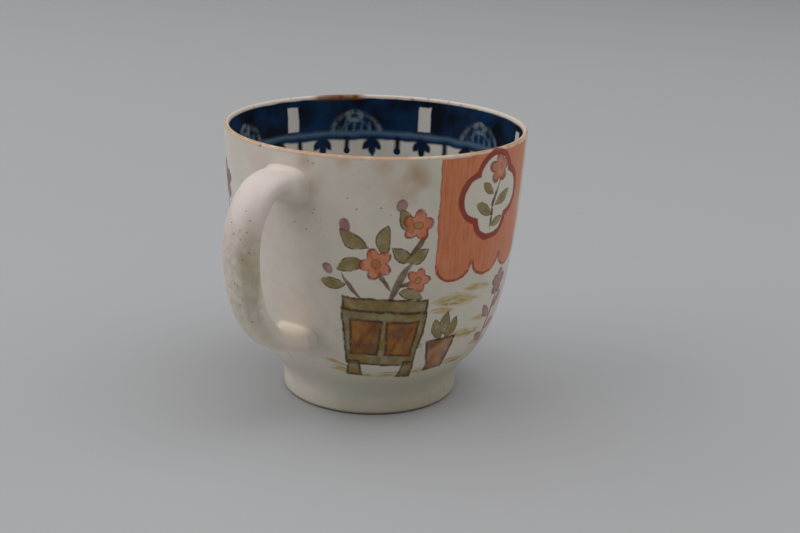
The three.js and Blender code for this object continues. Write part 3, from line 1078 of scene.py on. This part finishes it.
def glaze_handle(name, film=0.0):
    """The handle's glaze: painted light on its lower part, its lower root and its shoulder, soiled along its
    back, green on its heel, rosy above.

    On the slip, a film of the wall's glaze lies over it.
    """
    brush = Brush(name, GLAZE)
    lay_clouds(brush)
    soot = brush.noise(brush.vector("MULTIPLY", brush.place, (0.4, 0.4, 0.25)), 1.0, 5)
    # Painted light: the lower handle lies in shade, so it is painted paler towards the bottom
    brush.lay(brush.rise(38, 24, 0, 0.8), PAINTED_LIGHT_CREAM)
    far_side = brush.times(brush.fade(brush.y, -1.6, -0.4), brush.rise(34, 41), 0.5)
    brush.lay(far_side, PINK_GLAZE)
    back = brush.times(brush.within(brush.y, -4.8, -1.3, 1.4), brush.fade(brush.x, -45.6, -47.2))
    handled = brush.times(back, brush.rise(53, 43), brush.rise(26, 34))
    brush.lay(brush.times(handled, brush.fade(soot, 0.35, 0.65, 0.35, 0.8)), OLIVE_DIRT)
    tanned = brush.times(back, brush.within(brush.height, 41, 50, 5))
    brush.lay(brush.times(tanned, brush.fade(soot, 0.4, 0.6, 0.05, 0.25)), TAN_STAIN)
    heel = brush.times(brush.rise(36, 25), brush.fade(brush.x, -37, -41))
    brush.lay(brush.times(heel, brush.fade(soot, 0.3, 0.6, 0.1, 0.45)), GREEN_GLAZE)
    grain = brush.noise(brush.place, 0.8, 5)
    rubbed = brush.times(brush.fade(brush.x, -43, -46), brush.rise(52, 46))
    brush.lay(brush.times(rubbed, brush.fade(grain, 0.42, 0.66, 0, 0.4)), OLIVE_DIRT)
    brush.lay(brush.rise(44, 52, 0, 0.6), ROSE_GLAZE)
    # Painted highlight: the handle's end by the upper joint is painted paler, where the glaze catches the
    # light
    shoulder = brush.times(brush.fade(brush.x, -40, -35), brush.rise(48, 53), 0.45)
    brush.lay(shoulder, PALE_GLAZE)
    # Painted light: the pad at the lower root is painted paler, as if lit more
    lower_root_pad = brush.times(brush.rise(25, 22), brush.fade(brush.x, -37, -34), brush.rise(16, 18))
    brush.lay(brush.times(lower_root_pad, 0.3), PAINTED_LIGHT_CREAM)
    under = brush.times(brush.rise(54, 51), brush.rise(40, 45))
    hidden = brush.math("MAXIMUM", brush.fade(brush.y, -2.5, -5.0), under)
    brush.lay(brush.times(hidden, film), WARM_GLAZE)
    brush.lay(brush.times(hidden, brush.rise(54, 50), film), GREEN_GLAZE)
    for stain in HANDLE_STAINS:
        brush.blot(*stain)
    brush.ash(0.9, 0.78, 0.15, brush.rise(30, 44, 0.6, 1))
    brush.dots(HANDLE_SPOTS, HANDLE_SPOT_SIZE, GREY_GREEN)
    return finished(brush)


# The bowl's materials, and where its two painted sides begin and end in degrees round from the handle
BACK, GARDEN, HANGINGS, INSIDE = range(4)
GARDEN_START = -4.5
GARDEN_END = 56.25
HANGINGS_END = 123.75


def is_inside(place):
    wall = root(place.z).x - LIP_THICKNESS / 2
    floor = FOOT_HEIGHT + FLOOR_THICKNESS - LIP_THICKNESS / 2
    return place.z > floor and math.hypot(place.x, place.y) < wall


def bowl_side(place):
    """The number of the bowl's material at a place."""
    if is_inside(place):
        return INSIDE
    turn = math.degrees(math.atan2(-place.y, -place.x))
    if GARDEN_START < turn < GARDEN_END:
        return GARDEN
    if GARDEN_END < turn < HANGINGS_END:
        return HANGINGS
    return BACK


for enamel in (paint_back(), paint_garden(), paint_hangings(), glaze_inside()):
    bowl.data.materials.append(enamel)
for face in bowl.data.polygons:
    face.material_index = bowl_side(face.center / MM)
foot.data.materials.append(glaze_foot())
handle.data.materials.append(glaze_handle("handle_glaze"))
slip_glaze = glaze_handle("slip_glaze", SLIP_FILM)
upper_slip.data.materials.append(slip_glaze)
lower_slip.data.materials.append(slip_glaze)

# Camera at the photograph's viewing angle
CAMERA_PLACE = Vector((-242.41, -160.45, 122.84))
CAMERA_HEADING = math.radians(-57.75)
CAMERA_PITCH = math.radians(17.98)
CAMERA_ROLL = math.radians(1.967)
CAMERA_LENS = 59.68
SENSOR_WIDTH = 36

# The table, the sky and the lamps: a name, a place in metres, a size in metres and a power in watts
FLOOR_SIZE = 6
PAPER_ROUGHNESS = 0.8
SKY_STRENGTH = 0.171
LAMPS = [
    ("overhead", (0.0, 0.0, 1.4), 1.6, 6.9),
    ("left", (-0.811, 0.811, 0.803), 1.2, 6.4),
    ("back", (0.1, 1.147, 0.803), 1.2, 2.8),
    ("front", (0.0, -0.657, 1.236), 1.4, 4.0),
    ("right", (0.811, -0.811, 0.803), 1.2, 2.7),
]


def add_camera():
    bpy.ops.object.camera_add(location=CAMERA_PLACE * MM)
    camera = bpy.context.object
    level = Euler((QUARTER - CAMERA_PITCH, 0, CAMERA_HEADING)).to_matrix()
    camera.rotation_euler = (level @ Matrix.Rotation(CAMERA_ROLL, 3, "Z")).to_euler()
    camera.data.lens = CAMERA_LENS
    camera.data.sensor_width = SENSOR_WIDTH
    camera.data.sensor_fit = "HORIZONTAL"
    bpy.context.scene.camera = camera


def add_floor():
    bpy.ops.mesh.primitive_plane_add(size=FLOOR_SIZE)
    floor = bpy.context.object
    floor.name = "floor"
    paper = bpy.data.materials.new("grey_paper")
    paper.use_nodes = True
    shader = paper.node_tree.nodes["Principled BSDF"]
    shader.inputs["Base Color"].default_value = PAPER_GREY
    shader.inputs["Roughness"].default_value = PAPER_ROUGHNESS
    floor.data.materials.append(paper)


def add_sky():
    sky = bpy.data.worlds.new("studio")
    bpy.context.scene.world = sky
    sky.use_nodes = True
    background = sky.node_tree.nodes["Background"]
    background.inputs["Color"].default_value = (1, 1, 1, 1)
    background.inputs["Strength"].default_value = SKY_STRENGTH


def add_lamp(name, place, size, power):
    """A square lamp that faces the cup."""
    bpy.ops.object.light_add(type="AREA", location=place)
    lamp = bpy.context.object
    lamp.name = name
    lamp.rotation_euler = Vector(place).to_track_quat("Z", "Y").to_euler()
    lamp.data.size = size
    lamp.data.energy = power


add_camera()
add_floor()
add_sky()
for row in LAMPS:
    add_lamp(*row)
bpy.context.scene.view_settings.view_transform = "Standard"
